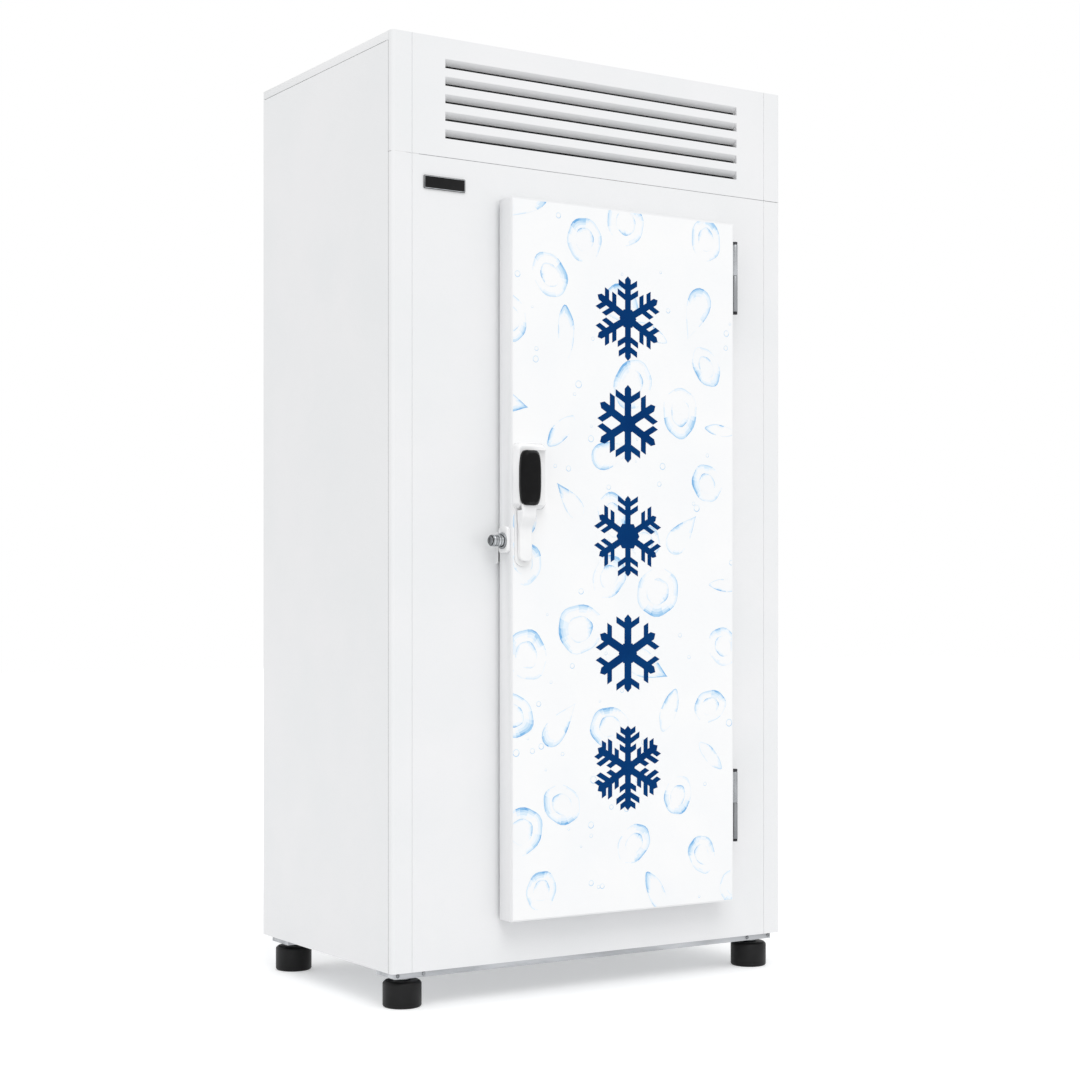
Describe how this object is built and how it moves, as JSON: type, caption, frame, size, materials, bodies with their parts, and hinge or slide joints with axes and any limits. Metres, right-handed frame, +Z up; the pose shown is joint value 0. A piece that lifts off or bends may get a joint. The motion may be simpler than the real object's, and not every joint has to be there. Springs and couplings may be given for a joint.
{
  "type": "ice merchandiser freezer",
  "caption": "Upright insulated ice merchandiser with one hinged door, lever latch with keyed lock, louvred refrigeration compartment on top and levelling feet.",
  "frame": {"origin": "on the floor, in the middle of the whole footprint from the latch's grip to the back edge of the sides", "axes": "+X to the right seen from the door, +Y from the door to the back, +Z up"},
  "size_m": [1, 0.702, 1.976],
  "materials": {
    "white_paint": "gloss",
    "galvanised_sheet": "satin",
    "rail_steel": "satin",
    "liner_sheet": "satin",
    "foam": "matte",
    "white_trim": "satin",
    "rack_plastic": "satin",
    "screw_steel": "satin",
    "plate_black": "gloss",
    "lamp_base": "satin",
    "lamp_lens": "satin",
    "coil_aluminium": "satin",
    "motor_grey": "satin",
    "fan_plastic": "satin",
    "drain_plastic": "satin",
    "compressor_black": "satin",
    "copper": "satin",
    "box_grey": "matte",
    "gland_black": "matte",
    "hinge_fixed_steel": "satin",
    "hinge_door_steel": "satin",
    "hinge_pin_dark": "satin",
    "gasket_grey": "matte",
    "print_film": "gloss",
    "latch_white": "gloss",
    "grip_black": "satin",
    "pin_steel": "polished",
    "lock_chrome": "polished",
    "foot_black": "satin",
    "stem_chrome": "polished"
  },
  "bodies": {
    "cabinet": {"side_panel_left": "white_paint", "side_panel_right": "white_paint", "back_panel": "galvanised_sheet", "rear_cover": "galvanised_sheet", "top_cover": "white_paint", "bottom_pan": "galvanised_sheet", "corner_post_left": "white_paint", "corner_post_right": "white_paint", "upper_posts": "white_paint", "front_panel": "white_paint", "grille_panel": "white_paint", "inner_liner": "liner_sheet", "cabinet_insulation": "foam", "doorway_trim": "white_trim", "cross_rails": "rail_steel", "screws": "screw_steel", "name_plate": "plate_black", "floor_rack": "rack_plastic", "light_base": "lamp_base", "light_lens": "lamp_lens", "lock_keeper": "rail_steel", "evaporator_housing": "galvanised_sheet", "evaporator_coil": "coil_aluminium", "evaporator_fan_motors": "motor_grey", "drain_pipe": "drain_plastic", "machine_deck": "galvanised_sheet", "compressor": "compressor_black", "condenser_coil": "coil_aluminium", "condenser_shroud": "galvanised_sheet", "condenser_fan_motor": "motor_grey", "filter_drier": "copper", "refrigerant_lines": "copper", "control_box": "box_grey", "cable_gland": "gland_black", "hinge_leaves_fixed": "hinge_fixed_steel", "hinge_pins": "hinge_pin_dark"},
    "door": {"door_skin": "white_paint", "door_insulation": "foam", "door_liner": "liner_sheet", "door_gasket": "gasket_grey", "door_print": "print_film", "hinge_leaves_door": "hinge_door_steel", "latch_base": "latch_white", "latch_pin": "pin_steel", "lock_housing": "latch_white", "lock_barrel": "lock_chrome"},
    "lever": {"latch_lever": "latch_white", "latch_grip": "grip_black"},
    "lock": {"lock_plug": "lock_chrome"},
    "condenser_fan": {"condenser_fan": "fan_plastic"},
    "evaporator_fan_left": {"evaporator_fan_left": "fan_plastic"},
    "evaporator_fan_right": {"evaporator_fan_right": "fan_plastic"},
    "foot_front_left": {"foot_front_left": "foot_black", "stem_front_left": "stem_chrome"},
    "foot_front_right": {"foot_front_right": "foot_black", "stem_front_right": "stem_chrome"},
    "foot_rear_left": {"foot_rear_left": "foot_black", "stem_rear_left": "stem_chrome"},
    "foot_rear_right": {"foot_rear_right": "foot_black", "stem_rear_right": "stem_chrome"}
  },
  "joints": [
    {"name": "door_swing", "type": "hinge", "parent": "cabinet", "child": "door", "pos_m": [0.334, -0.301, 0.9], "axis": [0, 0, 1], "range_deg": [0, 120]},
    {"name": "lever_pull", "type": "hinge", "parent": "door", "child": "lever", "pos_m": [-0.225, -0.318, 0.924], "axis": [1, 0, 0], "range_deg": [0, 18], "stiffness_Nm_per_rad": 2, "springref_deg": -17.19},
    {"name": "lock_turn", "type": "hinge", "parent": "door", "child": "lock", "pos_m": [-0.251, -0.287, 0.951], "axis": [1, 0, 0], "range_deg": [0, 90]},
    {"name": "condenser_fan_spin", "type": "hinge", "parent": "cabinet", "child": "condenser_fan", "pos_m": [-0.17, -0.134, 1.835], "axis": [0, 1, 0], "continuous": true},
    {"name": "evaporator_fan_left_spin", "type": "hinge", "parent": "cabinet", "child": "evaporator_fan_left", "pos_m": [-0.16, 0.045, 1.5855], "axis": [0, 1, 0], "continuous": true},
    {"name": "evaporator_fan_right_spin", "type": "hinge", "parent": "cabinet", "child": "evaporator_fan_right", "pos_m": [0.16, 0.045, 1.5855], "axis": [0, 1, 0], "continuous": true},
    {"name": "foot_front_left_turn", "type": "hinge", "parent": "cabinet", "child": "foot_front_left", "pos_m": [-0.449, -0.204, 0.062], "axis": [0, 0, 1], "range_deg": [-720, 720]},
    {"name": "foot_front_right_turn", "type": "hinge", "parent": "cabinet", "child": "foot_front_right", "pos_m": [0.449, -0.204, 0.062], "axis": [0, 0, 1], "range_deg": [-720, 720]},
    {"name": "foot_rear_left_turn", "type": "hinge", "parent": "cabinet", "child": "foot_rear_left", "pos_m": [-0.449, 0.301, 0.062], "axis": [0, 0, 1], "range_deg": [-720, 720]},
    {"name": "foot_rear_right_turn", "type": "hinge", "parent": "cabinet", "child": "foot_rear_right", "pos_m": [0.449, 0.301, 0.062], "axis": [0, 0, 1], "range_deg": [-720, 720]}
  ]
}
